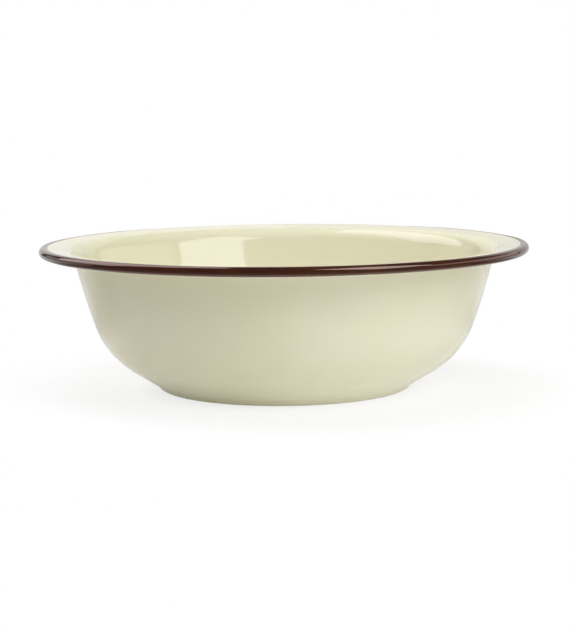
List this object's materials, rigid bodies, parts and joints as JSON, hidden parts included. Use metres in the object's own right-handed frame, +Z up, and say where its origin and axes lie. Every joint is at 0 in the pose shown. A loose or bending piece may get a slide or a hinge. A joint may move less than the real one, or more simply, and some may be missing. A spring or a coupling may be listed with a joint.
{
  "type": "enamel basin bowl",
  "caption": "Round enamelled steel basin bowl with a low foot, a curved wall, a flared rim and a dark rolled edge, for washing, mixing and serving.",
  "frame": {"origin": "centre of the foot, on the plane that the bowl stands on", "axes": "+Z up along the axis of revolution, X and Y across the rim"},
  "size_m": [0.32, 0.32, 0.095],
  "materials": {
    "sheet_steel": "pickled low-carbon enamelling steel",
    "ground_enamel": "dark glossy ground coat",
    "cream_enamel": "glossy cream cover coat",
    "brown_enamel": "glossy dark brown edging"
  },
  "bodies": {
    "root": {"steel_body": "sheet_steel", "ground_coat_inside": "ground_enamel", "ground_coat_outside": "ground_enamel", "cover_coat_inside": "cream_enamel", "cover_coat_outside": "cream_enamel", "rim_edging": "brown_enamel"}
  },
  "joints": []
}
